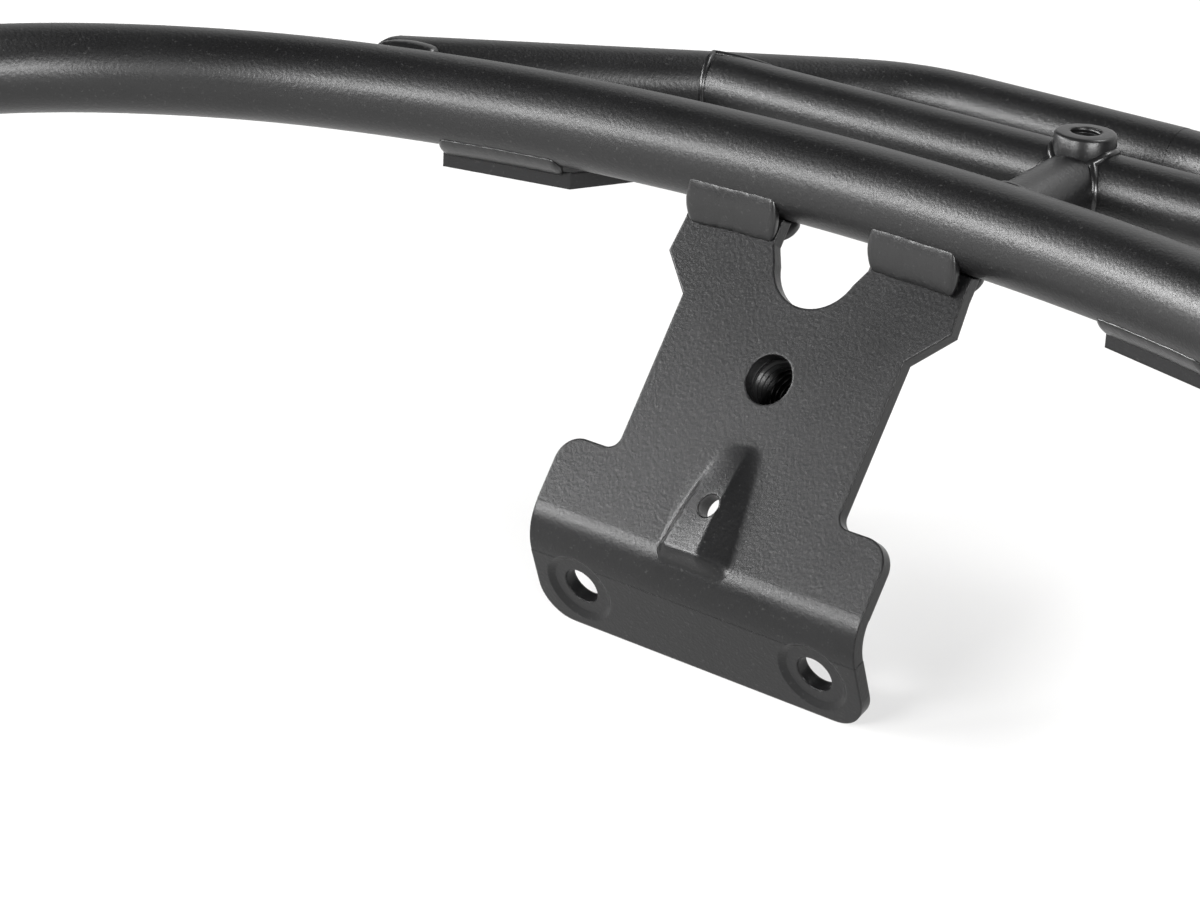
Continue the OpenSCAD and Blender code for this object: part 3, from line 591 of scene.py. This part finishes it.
def on_sheet(x, s, h):
    """Points at x across and s down the sheet's front, h in front of it: flat as far as the bend, then
    round its axis by the angle (s - bend_start) / bend_radius."""
    angle = np.clip(s - bend_start, 0.0, None) / bend_radius
    flat = toe + np.minimum(s, bend_start)[..., None] * downhill
    lift = np.cos(angle)[..., None] * front + np.sin(angle)[..., None] * downhill
    return flat - bend_radius * front + (bend_radius + h)[..., None] * lift + x[..., None] * sideways


# %% The grid of the skin
hole_s, hole_radius, oval_x, oval_above, oval_below = 45.5, 2.08, 9.6, 16.5, 15.0
angle = np.linspace(0.0, 2.0 * math.pi, 120, endpoint=False)
share = np.linspace(0.0, 1.0, 64)[:, None] ** 1.3
rim_x, rim_s = hole_radius * np.cos(angle), hole_radius * np.sin(angle)
oval_s = np.where(np.sin(angle) > 0.0, oval_below, oval_above) * np.sin(angle)
x = (1.0 - share) * rim_x + share * oval_x * np.cos(angle)
s = hole_s + (1.0 - share) * rim_s + share * oval_s
print("Skin grid:", x.shape, "from s", round(float(s.min()), 1), "to", round(float(s.max()), 1), "mm")

# %% [markdown]
# ### How high the rib stands
# Down the sheet it climbs fast and then levels out, and it ends on the bend. Across it, the crest
# lies right of the middle. The left facet leans away from the crest, most of all near the top, and
# drops off at a sharp little step, while the right flank slopes all the way down.

# %% Skin over the rib
crest_x, crest_height, climb_length = 2.0, 3.0, 9.0
t = s - rib_top
half_width = 3.6 + 2.9 * np.clip(t / (bend_start - rib_top), 0.0, 1.0)
from_crest = crest_x - x
start = np.clip(t + 0.8 - 0.15 * np.clip(from_crest, 0.0, None), 0.0, None)
climb = crest_height * (1.0 - np.exp(-(start / climb_length) ** 1.25))
climb = climb * (1.0 - smooth((s - bend_start) / 2.6))
lean = 0.42 + 0.56 * np.exp(-(np.clip(t, 0.0, None) / 11.0) ** 2)
left = (1.0 - lean * from_crest / (half_width + crest_x)) / (1.0 + np.exp((-x - half_width) / 0.32))
right = 1.0 + from_crest / (half_width + 0.9 - crest_x)
right = 0.5 * (right + np.sqrt(right ** 2 + 0.006))
h = climb * np.where(from_crest > 0.0, left, right) + 0.06 - 0.1 * share ** 2
wall = on_sheet(rim_x, hole_s + rim_s, h[0] - 1.2)
lip = on_sheet(1.01 * rim_x, hole_s + 1.01 * rim_s, h[0] - 0.03)
skin = np.concatenate([[wall, lip], on_sheet(x, s, h)])
rib_skin = grid_piece("bracket_plate_rib_skin", skin, sheet_coat, caps=False)
skin_faces = rib_skin.data.polygons
if np.array(skin_faces[len(skin_faces) // 2].normal) @ front < 0.0:
    rib_skin.data.flip_normals()
print("Rib skin:", len(skin_faces), "faces, at most", round(float(h.max()), 2), "mm proud")

# %% [markdown]
# ## White paper
# A catalogue picture is taken on white paper that runs up behind the object. The camera should see it
# as plain white with a soft shadow, so for camera rays it glows by 0.55 and takes light for the rest.
# Reflections see it glow as well. The floor touches the bracket's lowest point and rises gently to
# the rear, and a far wall stands behind, which shows as the bright rim along the tops of the tubes.

# %% Floor and wall
def paper_white(name, mirrored):
    """White paper that the camera sees mostly as plain white, and mirrors see with the share mirrored."""
    white = bpy.data.materials.new(name)
    r = Recipe(white)
    pale = r.mix(r.noise(3.0), (0.71, 0.706, 0.70, 1.0), (0.73, 0.725, 0.718, 1.0))
    lit = r.add("ShaderNodeBsdfDiffuse", {}, {"Color": pale})
    glow = r.add("ShaderNodeEmission", {}, {"Color": grey(1.0), "Strength": 1.0})
    camera_share = r.add("ShaderNodeLightPath", output="Is Camera Ray") * 0.55
    mirror_share = r.add("ShaderNodeLightPath", output="Is Glossy Ray") * mirrored
    both = r.add("ShaderNodeMixShader", {}, {0: camera_share + mirror_share, 1: lit, 2: glow})
    r.add("ShaderNodeOutputMaterial", {}, {"Surface": both})
    return white


touch = np.array([-20.0, cad_low[2] * 1000.0 - 0.8])
slope = math.radians(7.0)
uphill = np.array([math.cos(slope), math.sin(slope)])
# How far along the slope and how high above it: the floor, the curve up, and the wall
reach = np.array([[-1800.0], [2300.0], [2500.0], [2650.0], [2720.0], [2740.0]])
raised = np.array([0.0, 0.0, 30.0, 130.0, 320.0, 4500.0])
run = touch + reach * uphill + np.stack([np.zeros(6), raised], axis=1)
paper_side = 3500.0
corners = np.zeros((len(run), 2, 3))
corners[:, :, 0] = [-paper_side, paper_side]
corners[:, :, 1:] = run[:, None, :]
index = np.arange(2 * len(run)).reshape(-1, 2)
quads = np.stack([index[:-1, 0], index[:-1, 1], index[1:, 1], index[1:, 0]], axis=-1)
mesh = bpy.data.meshes.new("floor")
mesh.from_pydata((corners.reshape(-1, 3) * mm).tolist(), [], quads.tolist())
floor = bpy.data.objects.new("floor", mesh)
bpy.context.scene.collection.objects.link(floor)
mesh.materials.append(paper_white("floor white", 0.53))
mesh.materials.append(paper_white("wall white", 1.0))
mesh.polygons.foreach_set("material_index", [0, 0, 1, 1, 1])
print("Paper:", len(quads), "strips, lowest at z", round(float(run[:, 1].min()), 1), "mm")

# %% [markdown]
# ## Lights
# A black tube shows only what it mirrors. Three long, low panels in front draw one bright band at
# mid height along every tube, and the dark world above leaves the rest black. A wash from behind
# keeps the paper white. One helper turns an azimuth and an elevation into a place to stand.

# %% World
world = bpy.data.worlds.new("studio")
bpy.context.scene.world = world
r = Recipe(world)
sky = r.mix(r.add("ShaderNodeLightPath", output="Is Camera Ray"), grey(0.012, 0.001), grey(1.0))
backing = r.add("ShaderNodeBackground", {}, {"Color": sky, "Strength": 1.0})
r.add("ShaderNodeOutputWorld", {}, {"Surface": backing})
print("World: nearly black for light, white for the camera")


# %% Soft lights
def facing(azimuth, elevation, roll=0.0):
    """Axes right, up and back, as rows, of what looks at the rack from an azimuth (0 in front, 90 on
    the right) and an elevation: back = (sin a cos e, -cos a cos e, sin e), turned round it by roll."""
    a, e, turn = math.radians(azimuth), math.radians(elevation), math.radians(roll)
    back = np.array([math.sin(a) * math.cos(e), -math.cos(a) * math.cos(e), math.sin(e)])
    flat = np.array([math.cos(a), math.sin(a), 0.0])
    up = np.cross(back, flat)
    right = math.cos(turn) * flat + math.sin(turn) * up
    return np.stack([right, math.cos(turn) * up - math.sin(turn) * flat, back])


def put(thing, axes, place):
    """Stands a lamp or a camera at a place in metres."""
    matrix = np.eye(4)
    matrix[:3, :3] = axes.T
    matrix[:3, 3] = place
    thing.matrix_world = Matrix(matrix.tolist())


def soft_light(name, azimuth, elevation, distance, width, height, power):
    """A rectangular panel that looks at the rack from that direction; metres and watts."""
    data = bpy.data.lights.new(name, "AREA")
    data.shape = "RECTANGLE"
    data.size, data.size_y, data.energy = width, height, power
    lamp = bpy.data.objects.new(name, data)
    bpy.context.scene.collection.objects.link(lamp)
    axes = facing(azimuth, elevation)
    put(lamp, axes, axes[2] * distance + np.array([0.0, 0.0, 0.02]))
    return lamp


soft_light("band left", -60.0, 18.0, 1.3, 1.15, 0.22, 31.0)
soft_light("band front", -10.0, 18.0, 1.3, 0.65, 0.22, 20.0)
soft_light("band right", 62.0, 18.0, 1.3, 0.7, 0.22, 24.0)
soft_light("wash over the floor", 150.0, 60.0, 2.2, 1.2, 0.5, 30.0)

# %% [markdown]
# ## Camera
# The camera stands where the picture was taken from: in front on the right, looking down by about
# 21.5 degrees, 0.6 m away with a long lens, and turned by 3 degrees round its own line of sight.

# %% Camera
lens = bpy.data.cameras.new("camera")
lens.lens, lens.sensor_width = 105.0, 36.0
lens.clip_start, lens.clip_end = 0.01, 20.0
camera = bpy.data.objects.new("camera", lens)
bpy.context.scene.collection.objects.link(camera)
stand = np.array([316.0, -462.0, 170.8])
put(camera, facing(azimuth=38.384, elevation=21.511, roll=3.038), (stand + bow_at) * mm)
bpy.context.scene.camera = camera
bpy.context.scene.view_settings.view_transform = "Standard"
print("Camera:", round(float(np.linalg.norm(stand)), 0), "mm from the bow's middle")
